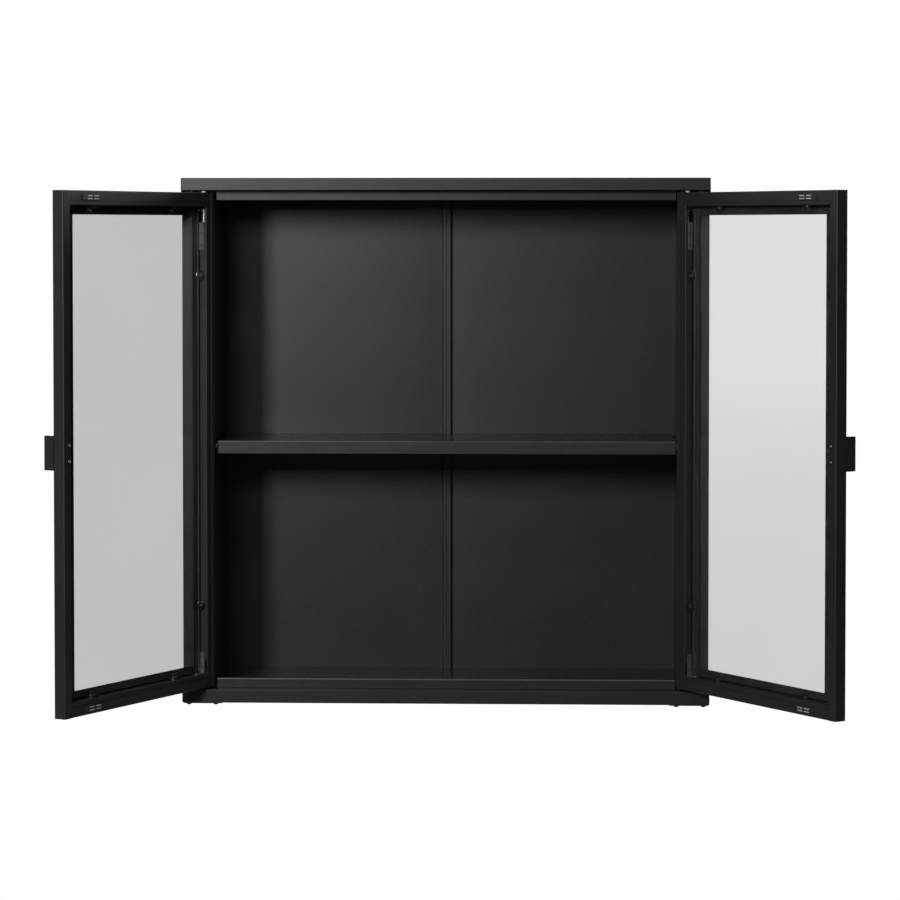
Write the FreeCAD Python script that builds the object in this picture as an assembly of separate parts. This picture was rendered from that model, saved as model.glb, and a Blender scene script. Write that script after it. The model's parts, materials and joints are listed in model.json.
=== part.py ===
import FreeCAD, Part
import os
import math

V = FreeCAD.Vector

# ---------------------------------------------------------------------------
# Wall mounted display showcase: folded steel case, two inset glazed doors,
# one shelf. Millimetres, +Z up. Working axes while drawing: X across the case
# (0 on the centre plane), y from the front plane back to the wall, z up from
# the underside of the bottom panel. Everything is moved at the end so that
# the frame's origin lies midway between the two wall fixing holes, on the
# wall plane, with +Y pointing into the wall.
# ---------------------------------------------------------------------------

# case
CASE_W = 700.0            # overall width
CASE_D = 200.0            # overall depth
CASE_H = 696.0            # height without the feet
PANEL_T = 16.5            # top and bottom panel thickness
LOW_Z = -1.3              # underside of the bottom panel's folded edge
SHEET = 1.0               # steel sheet thickness
EDGE_R = 1.5              # folded edge radius on the panels
SIDE_LEG = 14.5           # width of the side panel's front edge
STOP_Y = 23.0             # door stop face behind the front plane
LINER_X = 310.0           # inside face of the side liners
BACK_Y = 190.5            # inside face of the back
FLANGE_W = 15.0           # rear return flange of the side panels

# rails, floor, shelf
RAIL_X = 305.0            # half length of the front rails
RAIL_Y = 18.5             # face of the front rails
RAIL_DEEP = 6.0
TOP_RAIL_Y = 21.0         # the top one sits further back
TOP_RAIL_Z = 666.6        # lower edge of the top front rail
LOW_RAIL_Z = 29.5         # upper edge of the bottom front rail
FLOOR_Z = 20.2            # floor of the case
SHELF_X = 306.0
SHELF_Y0, SHELF_Y1 = 25.0, 190.0
SHELF_Z0, SHELF_Z1 = 328.9, 346.3
SHELF_PIN_R = 2.5
SHELF_PIN_Z = 337.5       # pins through the shelf's end walls
SHELF_PIN_Y = (55.0, 160.0)
STRIP_X0, STRIP_X1 = -10.2, 1.1     # cover strip over the back joint
STRIP_T = 7.0
STRIP_SEAM = (-5.5, -4.7, 0.6)      # pressed line along the strip

# wall fixing
FIX_X = 270.0             # each hole from the centre plane
FIX_Z = 672.0            # just under the top panel, hidden by the top front rail
FIX_R = 3.5
BLOCK_W, BLOCK_DROP = 40.0, 17.0

# feet
FOOT_PLATE_W, FOOT_PLATE_D, FOOT_PLATE_T = 53.0, 40.0, 1.5
GLIDE_R, GLIDE_H = 3.4, 2.5
GLIDE_X = (342.0, 306.4)
GLIDE_Y = 12.0
FOOT_BACK = 5.0           # foot plates behind the panel's edges

# doors
DOOR_W = 331.05
DOOR_Z0, DOOR_Z1 = 19.2, 676.5
DOOR_T = 17.0
FOLD_R = 1.0              # folded edges round the glass opening
SEAM_W, SEAM_D = 1.0, 0.6 # pressed lines on the door rails' inside face
STEP_U, STEP_D = 8.2, 0.7 # lapped sheet on the hinge stile's inside face
PIVOT_X, PIVOT_Y = 320.0, 8.0
HINGE_EDGE_X = 332.3      # hinge edge of a closed door
STILE_H = 19.0            # inside flange of the hinge stile
STILE_F = 14.2            # inside flange of the free stile
RAIL_FL = 18.5            # inside flange of the top and bottom rails
LIP_STILE = 32.0          # outside lip that covers the glass edge, hinge stile
LIP_FREE = 37.8           # the same on the free stile
LIP_RAIL = 30.0
GLASS_N0, GLASS_N1 = 1.0, 5.0
STRIP_N = 5.8             # top of the glazing strips beside the glass
GLASS_GAP_U = 2.0         # glass edge from the stiles' inside wall
GLASS_GAP_Z = 2.2         # glass edge from the rails' inside wall
LEFT_OPEN = 117.85        # rest angle of the left door, from closed
RIGHT_OPEN = 124.35        # rest angle of the right door, from closed

# glass retainers: round lugs flat on the frame's inside wall
LUG_R, LUG_T = 7.5, 4.2
LUG_N = 5.4               # lug centre from the outer face
LUG_SCREW_N = 8.8
LUG_SCREW_R = 0.9
TONGUE_L, TONGUE_T, TONGUE_W = 8.0, 1.2, 8.0
CLIP_STILE_END = 110.0
CLIP_RAIL_U = (80.0, 261.0)

# magnetic catches
MAG_W, MAG_H = 40.0, 8.0
MAG_FREE = 61.5           # centre from the free edge
MAG_TOP, MAG_LOW = 8.4, 7.4  # centres from the door's top and bottom edges
POLE_L, POLE_H = 9.8, 1.2

# handle tab
TAB_H, TAB_OUT, TAB_T, TAB_LEG = 43.4, 13.8, 1.5, 16.0
TAB_Z = 350.2
TAB_SCREW_V = 10.6
TAB_SCREW_PITCH = 20.0

# pivots
PIN_R = 1.5
RUN_R = 1.575             # running hole for the pins
BUSH_R = 3.0
BUSH_SHANK_R = 2.5
PIN_TOP_Z = 683.0
PIN_TRAVEL = 7.0
NOTCH_Z0, NOTCH_Z1 = 636.0, 654.5
NOTCH_N0, NOTCH_N1 = 4.8, 13.6
SLOT_N0, SLOT_N1 = 12.4, 15.2   # slot beside the lower bracket
SLOT_Z0, SLOT_Z1 = 39.5, 55.5

OUT = {}


def box(x0, x1, y0, y1, z0, z1):
    return Part.makeBox(x1 - x0, y1 - y0, z1 - z0, V(x0, y0, z0))


def cyl(r, h, x, y, z, d=(0, 0, 1)):
    return Part.makeCylinder(r, h, V(x, y, z), V(*d))


def near(a, b, tol=1e-4):
    return abs(a - b) < tol


def fillet(shape, r, pick):
    edges = [e for e in shape.Edges if pick(e)]
    if not edges:
        return shape
    return shape.makeFillet(r, edges)


def along(e, axis):
    a, b = e.Vertexes[0].Point, e.Vertexes[-1].Point
    d = b - a
    k = (abs(d.x), abs(d.y), abs(d.z))
    return k[axis] > 1e-3 and all(k[i] < 1e-6 for i in range(3) if i != axis)


def at(e, x=None, y=None, z=None):
    c = e.BoundBox.Center
    return ((x is None or near(c.x, x)) and (y is None or near(c.y, y))
            and (z is None or near(c.z, z)))


def fuse(*shapes):
    s = shapes[0]
    if len(shapes) > 1:
        s = s.fuse(list(shapes[1:]))
    return s.removeSplitter()


def group(shapes):
    return Part.makeCompound(shapes)


def mirrored(shape):
    return shape.mirror(V(0, 0, 0), V(1, 0, 0))


def put(name, shape):
    OUT[name] = shape


# ---------------------------------------------------------------------------
# case
# ---------------------------------------------------------------------------
HX = CASE_W / 2.0
TOP_Z = CASE_H - PANEL_T


def tray(x0, x1, y0, y1, z0, z1, open_up, r):
    """Folded pan with rounded outside edges on its closed side."""
    s = box(x0, x1, y0, y1, z0, z1)
    far = z0 if open_up else z1

    def pick(e):
        if along(e, 2):
            return True
        return at(e, z=far)
    s = fillet(s, r, pick)
    s = fillet(s, 0.9, lambda e: near(e.BoundBox.Center.z, z1 if open_up else z0)
               and e.BoundBox.ZLength < 1e-6)
    if open_up:
        v = box(x0 + SHEET, x1 - SHEET, y0 + SHEET, y1 - SHEET, z0 + SHEET, z1 + 1)
    else:
        v = box(x0 + SHEET, x1 - SHEET, y0 + SHEET, y1 - SHEET, z0 - 1, z1 - SHEET)
    return s.cut(v)


top_panel = tray(-HX, HX, 0, CASE_D, TOP_Z, CASE_H, False, EDGE_R)
put("top_panel", top_panel)
under = box(-HX + SHEET, HX - SHEET, SHEET, CASE_D - SHEET, TOP_Z, TOP_Z + SHEET)
for sx in (-1, 1):
    under = under.cut(cyl(BUSH_SHANK_R, 6, sx * PIVOT_X, PIVOT_Y, TOP_Z - 2))
put("top_panel_underside", under)

bottom_panel = tray(-HX, HX, 0, CASE_D, LOW_Z, PANEL_T, True, EDGE_R)
put("bottom_panel", bottom_panel)
over = box(-HX + SHEET, HX - SHEET, SHEET, CASE_D - SHEET, PANEL_T - SHEET, PANEL_T)
for sx in (-1, 1):
    over = over.cut(cyl(BUSH_SHANK_R, 6, sx * PIVOT_X, PIVOT_Y, PANEL_T - 4))
put("bottom_panel_topside", over)

# side panel (left one drawn, right one mirrored)
sx0 = -HX
leg_in = -HX + SIDE_LEG
skin = fuse(
    box(sx0, sx0 + SHEET, 0, CASE_D, PANEL_T, TOP_Z),
    box(sx0, leg_in, 0, SHEET, PANEL_T, TOP_Z),
    box(leg_in - SHEET, leg_in, 0, STOP_Y, PANEL_T, TOP_Z),
    box(sx0, sx0 + FLANGE_W, CASE_D - SHEET, CASE_D, PANEL_T, TOP_Z),
)
skin = fillet(skin, 1.5, lambda e: along(e, 2) and at(e, x=leg_in, y=0))
skin = fillet(skin, 0.8, lambda e: along(e, 2) and (at(e, x=sx0, y=0) or at(e, x=sx0, y=CASE_D)))
skin = skin.cut(box(sx0 + SHEET, leg_in + 1, -1, SHEET + 1.5, TOP_Z - 2.2, TOP_Z + 1))
put("left_side_panel", skin)
put("right_side_panel", mirrored(skin))

liner = fuse(
    box(leg_in - SHEET, -LINER_X, STOP_Y, STOP_Y + SHEET, PANEL_T, TOP_Z),
    box(-LINER_X - SHEET, -LINER_X, STOP_Y, BACK_Y, PANEL_T, TOP_Z),
)
liner = fillet(liner, 0.8, lambda e: along(e, 2) and at(e, x=-LINER_X, y=STOP_Y))
for py in SHELF_PIN_Y:
    liner = liner.cut(cyl(SHELF_PIN_R, 6, -LINER_X - 3, py, SHELF_PIN_Z, (1, 0, 0)))
put("left_side_liner", liner)
put("right_side_liner", mirrored(liner))

# back, two sheets with a joint on the centre line
back = box(-HX + SHEET, -0.5, BACK_Y, BACK_Y + SHEET, PANEL_T, TOP_Z)
back = back.cut(cyl(FIX_R, 6, -FIX_X, BACK_Y - 2, FIX_Z, (0, 1, 0)))
put("back_panel_left", back)
put("back_panel_right", mirrored(back))

strip = box(STRIP_X0, STRIP_X1, BACK_Y - STRIP_T, BACK_Y, PANEL_T, TOP_Z)
strip = fillet(strip, 2.4, lambda e: along(e, 2) and at(e, x=STRIP_X0, y=BACK_Y - STRIP_T))
strip = fillet(strip, 0.6, lambda e: along(e, 2) and at(e, x=STRIP_X1, y=BACK_Y - STRIP_T))
strip = strip.cut(box(STRIP_X0 + 2.6, STRIP_X1 - SHEET, BACK_Y - STRIP_T + SHEET,
                      BACK_Y + 1, PANEL_T - 1, TOP_Z + 1))
strip = strip.cut(box(STRIP_SEAM[0], STRIP_SEAM[1], BACK_Y - STRIP_T - 1,
                      BACK_Y - STRIP_T + STRIP_SEAM[2], PANEL_T - 1, TOP_Z + 1))
put("back_joint_strip", strip)
notch_x0, notch_x1 = STRIP_X0 - 0.5, STRIP_X1 + 0.5
notch_y = BACK_Y - STRIP_T - 0.5

# front rails
rail = box(-RAIL_X, RAIL_X, TOP_RAIL_Y, TOP_RAIL_Y + RAIL_DEEP, TOP_RAIL_Z, TOP_Z)
rail = fillet(rail, 0.8, lambda e: along(e, 0) and at(e, z=TOP_RAIL_Z))
rail = rail.cut(box(-RAIL_X - 1, RAIL_X + 1, TOP_RAIL_Y + SHEET, TOP_RAIL_Y + RAIL_DEEP - SHEET,
                    TOP_RAIL_Z + SHEET, TOP_Z + 1))
put("top_front_rail", rail)
rail = box(-RAIL_X, RAIL_X, RAIL_Y, RAIL_Y + RAIL_DEEP, PANEL_T, LOW_RAIL_Z)
rail = fillet(rail, 1.8, lambda e: along(e, 0) and at(e, y=RAIL_Y, z=LOW_RAIL_Z))
rail = fillet(rail, 0.8, lambda e: along(e, 0) and at(e, y=RAIL_Y + RAIL_DEEP, z=LOW_RAIL_Z))
rail = rail.cut(box(-RAIL_X - 1, RAIL_X + 1, RAIL_Y + SHEET, RAIL_Y + RAIL_DEEP - SHEET,
                    PANEL_T - 1, LOW_RAIL_Z - 1.6))
put("bottom_front_rail", rail)

floor = box(-LINER_X, LINER_X, RAIL_Y + RAIL_DEEP, BACK_Y, PANEL_T, FLOOR_Z)
floor = floor.cut(box(-LINER_X + SHEET, LINER_X - SHEET, RAIL_Y + RAIL_DEEP + SHEET,
                      BACK_Y - SHEET, PANEL_T - 1, FLOOR_Z - SHEET))
floor = floor.cut(box(notch_x0, notch_x1, notch_y, BACK_Y + 1, PANEL_T - 1, FLOOR_Z + 1))
put("floor_panel", floor)

# shelf: folded pan closed from below, notched round the back strip
shelf = tray(-SHELF_X, SHELF_X, SHELF_Y0, SHELF_Y1, SHELF_Z0, SHELF_Z1, False, 1.2)
shelf = shelf.cut(box(notch_x0, notch_x1, notch_y, SHELF_Y1 + 1, SHELF_Z0 - 1, SHELF_Z1 + 1))
shelf = shelf.fuse(box(notch_x0 - SHEET, notch_x1 + SHEET, notch_y - SHEET, notch_y,
                       SHELF_Z0, SHELF_Z1 - SHEET))
for a, b in ((notch_x0 - SHEET, notch_x0), (notch_x1, notch_x1 + SHEET)):
    shelf = shelf.fuse(box(a, b, notch_y - SHEET, SHELF_Y1 - SHEET, SHELF_Z0, SHELF_Z1 - SHEET))
shelf = shelf.removeSplitter()
for sx in (-1, 1):
    for py in SHELF_PIN_Y:
        shelf = shelf.cut(cyl(SHELF_PIN_R, 4, sx * (SHELF_X - 2.5), py, SHELF_PIN_Z, (sx, 0, 0)))
put("shelf", shelf)
su = box(-SHELF_X + SHEET, SHELF_X - SHEET, SHELF_Y0 + SHEET, SHELF_Y1 - SHEET,
         SHELF_Z0, SHELF_Z0 + SHEET)
su = su.cut(box(notch_x0 - SHEET, notch_x1 + SHEET, notch_y - SHEET, SHELF_Y1 + 1,
                SHELF_Z0 - 1, SHELF_Z0 + 2))
put("shelf_underside", su)

pins = []
for sx in (-1, 1):
    for py in SHELF_PIN_Y:
        p = cyl(SHELF_PIN_R, 15.0, sx * (LINER_X - 7), py, SHELF_PIN_Z, (sx, 0, 0))
        f = cyl(SHELF_PIN_R + 2.0, 3.0, sx * (LINER_X - 3.5), py, SHELF_PIN_Z, (sx, 0, 0))
        pins.append(fuse(p, f))
put("shelf_pins", group(pins))

# wall fixing blocks, welded behind the back
blocks = []
for sx in (-1, 1):
    b = box(sx * FIX_X - BLOCK_W / 2, sx * FIX_X + BLOCK_W / 2, BACK_Y + SHEET, CASE_D,
            FIX_Z - BLOCK_DROP, TOP_Z)
    b = b.cut(cyl(FIX_R, 20, sx * FIX_X, BACK_Y - 2, FIX_Z, (0, 1, 0)))
    blocks.append(b)
put("wall_fixing_blocks", group(blocks))

# feet
plates, glides = [], []
for sx in (-1, 1):
    for y0 in (0.0, CASE_D - FOOT_PLATE_D):
        a2, b2 = sorted((sx * (HX - 1.6), sx * (HX - FOOT_PLATE_W)))
        p = box(a2, b2, max(y0, FOOT_BACK), min(y0 + FOOT_PLATE_D, CASE_D - FOOT_BACK),
                LOW_Z - FOOT_PLATE_T, LOW_Z)
        p = fillet(p, 1.5, lambda e: along(e, 2))
        plates.append(p)
        gy = GLIDE_Y if y0 == 0 else CASE_D - GLIDE_Y
        for gx in GLIDE_X:
            g = cyl(GLIDE_R, GLIDE_H, sx * gx, gy, LOW_Z - FOOT_PLATE_T - GLIDE_H)
            g = fillet(g, 1.7, lambda e: near(e.BoundBox.Center.z, LOW_Z - FOOT_PLATE_T - GLIDE_H)
                       and e.BoundBox.ZLength < 1e-6)
            glides.append(g)
put("foot_plates", group(plates))
put("foot_screws", group(glides))

# nylon pivot bushes, pressed into the case
bushes = []
for sx in (-1, 1):
    top = fuse(cyl(BUSH_R, 2.5, sx * PIVOT_X, PIVOT_Y, TOP_Z - 2.5),
               cyl(BUSH_SHANK_R, 5.0, sx * PIVOT_X, PIVOT_Y, TOP_Z))
    top = top.cut(cyl(RUN_R, 20, sx * PIVOT_X, PIVOT_Y, TOP_Z - 10))
    low = fuse(cyl(BUSH_R, 2.4, sx * PIVOT_X, PIVOT_Y, PANEL_T),
               cyl(BUSH_SHANK_R, 5.0, sx * PIVOT_X, PIVOT_Y, PANEL_T - 5.0))
    low = low.cut(cyl(RUN_R, 20, sx * PIVOT_X, PIVOT_Y, PANEL_T - 10))
    bushes += [top, low]
put("pivot_bushes", group(bushes))

# ---------------------------------------------------------------------------
# doors. The left door is drawn closed: u runs from the hinge edge to the free
# edge, n from the outer face to the inner face, z as in the case.
# ---------------------------------------------------------------------------
X0 = -HINGE_EDGE_X
XF = X0 + DOOR_W          # free edge


def ub(u0, u1, n0, n1, z0, z1):
    return box(X0 + u0, X0 + u1, n0, n1, z0, z1)


WALL_H = STILE_H
WALL_F = DOOR_W - STILE_F
GL_U0 = STILE_H + GLASS_GAP_U
GL_U1 = DOOR_W - STILE_F - GLASS_GAP_U
GL_Z0 = DOOR_Z0 + RAIL_FL + GLASS_GAP_Z
GL_Z1 = DOOR_Z1 - RAIL_FL - GLASS_GAP_Z
EU = PIVOT_X              # pivot, left door: X = -PIVOT_X

# hinge stile
tube = ub(0, STILE_H, 0, DOOR_T, DOOR_Z0, DOOR_Z1)
tube = fillet(tube, 2.0, lambda e: along(e, 2) and near(e.BoundBox.Center.x, X0))
tube = tube.cut(ub(STEP_U, STILE_H + 1, DOOR_T - STEP_D, DOOR_T + 1, DOOR_Z0 - 1, DOOR_Z1 + 1))
tube = fillet(tube, FOLD_R, lambda e: along(e, 2) and at(e, x=X0 + STILE_H, y=DOOR_T - STEP_D))
tube = tube.cut(ub(SHEET, STILE_H - SHEET, SHEET, DOOR_T - STEP_D - SHEET,
                   DOOR_Z0 + SHEET, DOOR_Z1 - SHEET))
stile = tube.fuse(ub(STILE_H, LIP_STILE, 0, SHEET, DOOR_Z0, DOOR_Z1)).removeSplitter()
stile = stile.cut(ub(STILE_H - SHEET - 0.5, STILE_H + 0.5, SLOT_N0, SLOT_N1, SLOT_Z0, SLOT_Z1))
stile = stile.cut(ub(STILE_H - SHEET - 0.5, STILE_H + 0.5, NOTCH_N0, NOTCH_N1, NOTCH_Z0, NOTCH_Z1))
stile = stile.cut(cyl(RUN_R, 5, -EU, PIVOT_Y, DOOR_Z1 - 3))
stile = stile.cut(cyl(PIN_R, 5, -EU, PIVOT_Y, DOOR_Z0 - 2))
D = {"hinge_stile": stile}

# free stile
tube = ub(WALL_F, DOOR_W, 0, DOOR_T, DOOR_Z0, DOOR_Z1)
tube = fillet(tube, 1.6, lambda e: along(e, 2) and near(e.BoundBox.Center.x, XF))
tube = fillet(tube, FOLD_R, lambda e: along(e, 2) and at(e, x=X0 + WALL_F, y=DOOR_T))
tube = tube.cut(ub(WALL_F + SHEET, DOOR_W - SHEET, SHEET, DOOR_T - SHEET,
                   DOOR_Z0 + SHEET, DOOR_Z1 - SHEET))
stile = tube.fuse(ub(DOOR_W - LIP_FREE, WALL_F, 0, SHEET, DOOR_Z0, DOOR_Z1)).removeSplitter()
for k in (-0.5, 0.5):
    stile = stile.cut(cyl(1.5, 30, X0 + DOOR_W - TAB_SCREW_V, -5, TAB_Z + k * TAB_SCREW_PITCH, (0, 1, 0)))
D["free_stile"] = stile


def door_rail(top):
    z0 = DOOR_Z1 - RAIL_FL if top else DOOR_Z0
    z1 = z0 + RAIL_FL
    zi = z0 if top else z1          # inside edge
    t = ub(WALL_H, WALL_F, SHEET, DOOR_T, z0, z1)
    t = fillet(t, FOLD_R, lambda e: along(e, 0) and at(e, y=DOOR_T, z=zi))
    t = fillet(t, 1.2, lambda e: along(e, 0) and at(e, y=DOOR_T, z=z1 if top else z0))
    t = t.cut(ub(WALL_H - 1, WALL_F + 1, SHEET - 1, DOOR_T - SHEET, z0 + SHEET, z1 - SHEET))
    l0, l1 = (DOOR_Z1 - LIP_RAIL, DOOR_Z1) if top else (DOOR_Z0, DOOR_Z0 + LIP_RAIL)
    lip = ub(LIP_STILE, DOOR_W - LIP_FREE, 0, SHEET, l0, l1)
    t = t.fuse(lip).removeSplitter()
    gz = z1 - 13.5 if top else z0 + 13.5
    t = t.cut(ub(WALL_H - 1, WALL_F + 1, DOOR_T - SEAM_D, DOOR_T + 1, gz - SEAM_W / 2, gz + SEAM_W / 2))
    mz = DOOR_Z1 - MAG_TOP if top else DOOR_Z0 + MAG_LOW
    mu = DOOR_W - MAG_FREE
    t = t.cut(ub(mu - MAG_W / 2, mu + MAG_W / 2, DOOR_T - SHEET - 1, DOOR_T + 1,
                 mz - MAG_H / 2, mz + MAG_H / 2))
    return t


D["top_rail"] = door_rail(True)
D["bottom_rail"] = door_rail(False)

glass = ub(GL_U0, GL_U1, GLASS_N0, GLASS_N1, GL_Z0, GL_Z1)
glass = fillet(glass, 1.6, lambda e: along(e, 1))
glass = fillet(glass, 0.4, lambda e: near(e.BoundBox.YLength, 0) and near(e.BoundBox.Center.y, GLASS_N1))
D["glass"] = glass

# glass retainers: a lug in the gap between frame and glass, a metal tongue
# that reaches over the glass, and a screw into the frame's inside wall
lugs, tongues, cscrews = [], [], []


def clip(key, u, z, du, dz):
    """u, z on the frame's inside wall; (du, dz) points to the glass."""
    ax = (du, 0, dz)
    wx, wz = X0 + u, z

    def span(a, b, n0, n1, half):
        """box from a to b away from the wall, n0 to n1 deep, +-half along it"""
        p, q = sorted((wx + du * a, wx + du * b)) if du else (wx - half, wx + half)
        r, t = sorted((wz + dz * a, wz + dz * b)) if dz else (wz - half, wz + half)
        return box(p, q, n0, n1, r, t)

    c = cyl(LUG_R, LUG_T, wx, LUG_N, wz, ax)
    face = (wx + du * LUG_T) if du else (wz + dz * LUG_T)
    if du:
        c = fillet(c, 0.8, lambda e: near(e.BoundBox.Center.x, face) and e.BoundBox.XLength < 1e-6)
    else:
        c = fillet(c, 0.8, lambda e: near(e.BoundBox.Center.z, face) and e.BoundBox.ZLength < 1e-6)
    c = c.common(span(0, LUG_T, GLASS_N1 + 0.05, 30, 20))
    t = span(0.5, TONGUE_L, GLASS_N1 + 0.05, GLASS_N1 + 0.05 + TONGUE_T, TONGUE_W / 2)
    c = c.cut(t)
    c = c.cut(cyl(LUG_SCREW_R, 20, wx - du * 5, LUG_SCREW_N, wz - dz * 5, ax))
    lugs.append(c)
    tongues.append(t)
    s = fuse(cyl(LUG_SCREW_R, LUG_T + 2.5, wx - du * 2.5, LUG_SCREW_N, wz - dz * 2.5, ax),
             cyl(1.6, 0.7, wx + du * LUG_T, LUG_SCREW_N, wz + dz * LUG_T, ax))
    cscrews.append(s)
    D[key] = D[key].cut(cyl(LUG_SCREW_R, 2.0 + 1e-3, wx - du * 2, LUG_SCREW_N, wz - dz * 2, ax))


for zc in (DOOR_Z0 + CLIP_STILE_END, DOOR_Z1 - CLIP_STILE_END):
    clip("hinge_stile", WALL_H, zc, 1, 0)
    clip("free_stile", WALL_F, zc, -1, 0)
for uc in CLIP_RAIL_U:
    clip("bottom_rail", uc, DOOR_Z0 + RAIL_FL, 0, 1)
    clip("top_rail", uc, DOOR_Z1 - RAIL_FL, 0, -1)
# black glazing strips fill the gap between the pane and the stiles
strips = []
for a, b in ((STILE_H, GL_U0), (GL_U1, WALL_F)):
    g = ub(a, b, SHEET, STRIP_N, GL_Z0 + 1.0, GL_Z1 - 1.0)
    for zc in (DOOR_Z0 + CLIP_STILE_END, DOOR_Z1 - CLIP_STILE_END):
        g = g.cut(ub(a - 1, b + 1, GLASS_N1, STRIP_N + 1, zc - LUG_R - 0.2, zc + LUG_R + 0.2))
    strips.append(g)
strips[0] = strips[0].cut(ub(STILE_H - 1, STILE_H + 4, 5.5, 13, 600.0, NOTCH_Z0 + 2))
strips[0] = strips[0].cut(ub(STILE_H - 1, STILE_H + 4, 5.5, 13, DOOR_Z0, 68.5))
D["glazing_strips"] = group(strips)
D["glass_clips"] = group(lugs)
D["glass_clip_tongues"] = group(tongues)
D["clip_screws"] = group(cscrews)

# handle tab: folded angle on the free edge, with two through screws
tab = fuse(ub(DOOR_W - TAB_T, DOOR_W, -TAB_OUT, 0, TAB_Z - TAB_H / 2, TAB_Z + TAB_H / 2),
           ub(DOOR_W - TAB_LEG, DOOR_W, -TAB_T, 0, TAB_Z - TAB_H / 2, TAB_Z + TAB_H / 2))
tab = fillet(tab, 1.5, lambda e: along(e, 0) and near(e.BoundBox.Center.y, -TAB_OUT))
tab = fillet(tab, 1.5, lambda e: along(e, 1) and near(e.BoundBox.Center.x, X0 + DOOR_W - TAB_LEG))
hs = []
for k in (-0.5, 0.5):
    zc = TAB_Z + k * TAB_SCREW_PITCH
    uc = X0 + DOOR_W - TAB_SCREW_V
    tab = tab.cut(cyl(1.5, 30, uc, -5, zc, (0, 1, 0)))
    head = cyl(2.1, 1.2, uc, DOOR_T, zc, (0, 1, 0))
    head = fillet(head, 0.6, lambda e: near(e.BoundBox.Center.y, DOOR_T + 1.2) and e.BoundBox.YLength < 1e-6)
    for a in (45, 135):
        cross = box(uc - 1.2, uc + 1.2, DOOR_T + 0.6, DOOR_T + 3, zc - 0.25, zc + 0.25)
        cross.rotate(V(uc, 0, zc), V(0, 1, 0), a)
        head = head.cut(cross)
    washer = cyl(3.6, 0.5, uc, DOOR_T, zc, (0, 1, 0))
    hs.append(fuse(head, washer, cyl(1.5, DOOR_T + TAB_T, uc, -TAB_T, zc, (0, 1, 0))))
D["handle_tab"] = tab
D["handle_screws"] = group(hs)

# magnetic catches in the top and bottom rails
houses, poles = [], []
for mz in (DOOR_Z1 - MAG_TOP, DOOR_Z0 + MAG_LOW):
    mu = DOOR_W - MAG_FREE
    h = ub(mu - MAG_W / 2, mu + MAG_W / 2, DOOR_T - 5.0, DOOR_T + 1.0, mz - MAG_H / 2, mz + MAG_H / 2)
    h = fillet(h, 0.4, lambda e: near(e.BoundBox.YLength, 0) and near(e.BoundBox.Center.y, DOOR_T + 1.0))
    for du in (-1, 1):
        for dz in (-1, 1):
            a, b = sorted((mu + du * 1.8, mu + du * (1.8 + POLE_L)))
            pz = mz + dz * 1.85
            p = ub(a, b, DOOR_T - 3.0, DOOR_T + 1.15, pz - POLE_H / 2, pz + POLE_H / 2)
            h = h.cut(p)
            poles.append(p)
    houses.append(h)
D["magnet_housings"] = group(houses)
D["magnet_poles"] = group(poles)

# top pivot: spring loaded pin in the hinge stile, carried by a bracket
BR = 1.2
US, UE = STILE_H, STILE_H + BR
br = fuse(
    ub(US, UE, 5.6, 12.6, 601.0, NOTCH_Z0),
    ub(6.0, UE, 5.6, 12.6, NOTCH_Z0, NOTCH_Z0 + BR),
)
br = fillet(br, 1.5, lambda e: along(e, 0) and near(e.BoundBox.Center.z, 601.0))
br = br.cut(cyl(RUN_R, 6, -EU, PIVOT_Y, NOTCH_Z0 - 2))
rz = [(n_, z_) for n_, z_ in ((9.1, 607.0), (9.1, 624.0))]
rivets = []
for n_, z_ in rz:
    r_ = cyl(1.9, 0.9, X0 + UE, n_, z_, (1, 0, 0))
    r_ = fillet(r_, 0.6, lambda e: near(e.BoundBox.Center.x, X0 + UE + 0.9) and e.BoundBox.XLength < 1e-6)
    rivets.append(r_)
D["top_hinge_bracket"] = br

# bottom pivot bracket: angle in the corner of stile and rail
zb = DOOR_Z0 + RAIL_FL
bb = fuse(ub(US, UE, 5.6, 11.8, zb, 66.0),
          ub(US, US + 18.0, 5.6, 11.8, zb, zb + BR))
bb = fillet(bb, 1.5, lambda e: along(e, 0) and near(e.BoundBox.Center.z, 66.0))
bb = fillet(bb, 1.5, lambda e: along(e, 2) and near(e.BoundBox.Center.x, X0 + US + 18.0))
D["bottom_hinge_bracket"] = bb
for z_ in (46.0, 60.0):
    r_ = cyl(1.9, 0.9, X0 + UE, 8.7, z_, (1, 0, 0))
    r_ = fillet(r_, 0.6, lambda e: near(e.BoundBox.Center.x, X0 + UE + 0.9) and e.BoundBox.XLength < 1e-6)
    rivets.append(r_)
r_ = cyl(1.9, 0.9, X0 + US + 13.0, 8.7, zb + BR, (0, 0, 1))
r_ = fillet(r_, 0.6, lambda e: near(e.BoundBox.Center.z, zb + BR + 0.9) and e.BoundBox.ZLength < 1e-6)
rivets.append(r_)
D["bracket_rivets"] = group(rivets)

low_pin = fuse(cyl(PIN_R, 18.0, -EU, PIVOT_Y, 12.5),
               cyl(4.0, 1.5, -EU, PIVOT_Y, DOOR_Z0 + SHEET))
low_pin = fillet(low_pin, 0.5, lambda e: near(e.BoundBox.Center.z, 12.5) and e.BoundBox.ZLength < 1e-6)
D["bottom_pivot_pin"] = low_pin

COLLAR_Z0, COLLAR_Z1 = 652.4, 654.0
pin = fuse(cyl(PIN_R, PIN_TOP_Z - 630.0, -EU, PIVOT_Y, 630.0),
           cyl(3.2, COLLAR_Z1 - COLLAR_Z0, -EU, PIVOT_Y, COLLAR_Z0),
           cyl(0.6, 12.5, -EU, PIVOT_Y, (COLLAR_Z0 + COLLAR_Z1) / 2, (1, 0, 0)))
pin = fillet(pin, 0.5, lambda e: near(e.BoundBox.Center.z, PIN_TOP_Z) and e.BoundBox.ZLength < 1e-6)
D["top_pivot_pin"] = pin

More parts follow.
